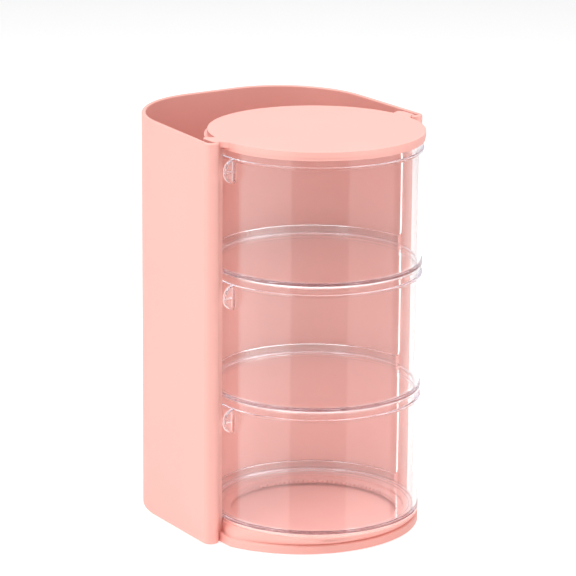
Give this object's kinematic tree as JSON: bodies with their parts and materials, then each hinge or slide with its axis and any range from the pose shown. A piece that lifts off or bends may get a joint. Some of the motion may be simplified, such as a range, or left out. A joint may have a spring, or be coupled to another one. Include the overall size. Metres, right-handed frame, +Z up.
{
  "type": "rotating desk organizer",
  "caption": "Desk organizer with a U-shaped housing, a pen bay at the back and a stack of clear round drawers that turn about a vertical axis under a round lid.",
  "frame": {"origin": "the point on the tower's vertical turning axis at desk level, under the feet", "axes": "+X to the object's right seen from its front, +Y to its back, +Z up; the drawers open to -Y"},
  "size_m": [0.1474, 0.1728, 0.2355],
  "materials": {
    "body_plastic": "satin moulded ABS, soft pink",
    "clear_plastic": "clear glossy polystyrene",
    "screw_steel": "zinc-plated steel",
    "foot_rubber": "matt rubber"
  },
  "bodies": {
    "housing": {"outer_shell": "body_plastic", "tower_cradle": "body_plastic", "base_plate": "body_plastic", "turning_track": "body_plastic", "top_cover": "body_plastic", "pen_riser": "body_plastic", "base_screws": "screw_steel", "rubber_feet": "foot_rubber"},
    "bottom_drum": {"drawer_bottom": "clear_plastic"},
    "middle_drum": {"drawer_middle": "clear_plastic"},
    "top_drum": {"drawer_top": "clear_plastic"}
  },
  "joints": [
    {"name": "bottom_drum_turn", "type": "hinge", "parent": "housing", "child": "bottom_drum", "pos_m": [0, 0, 0], "axis": [0, 0, 1], "range_deg": [-3, 170]},
    {"name": "middle_drum_turn", "type": "hinge", "parent": "housing", "child": "middle_drum", "pos_m": [0, 0, 0], "axis": [0, 0, 1], "range_deg": [-3, 170]},
    {"name": "top_drum_turn", "type": "hinge", "parent": "housing", "child": "top_drum", "pos_m": [0, 0, 0], "axis": [0, 0, 1], "range_deg": [-3, 170]}
  ]
}
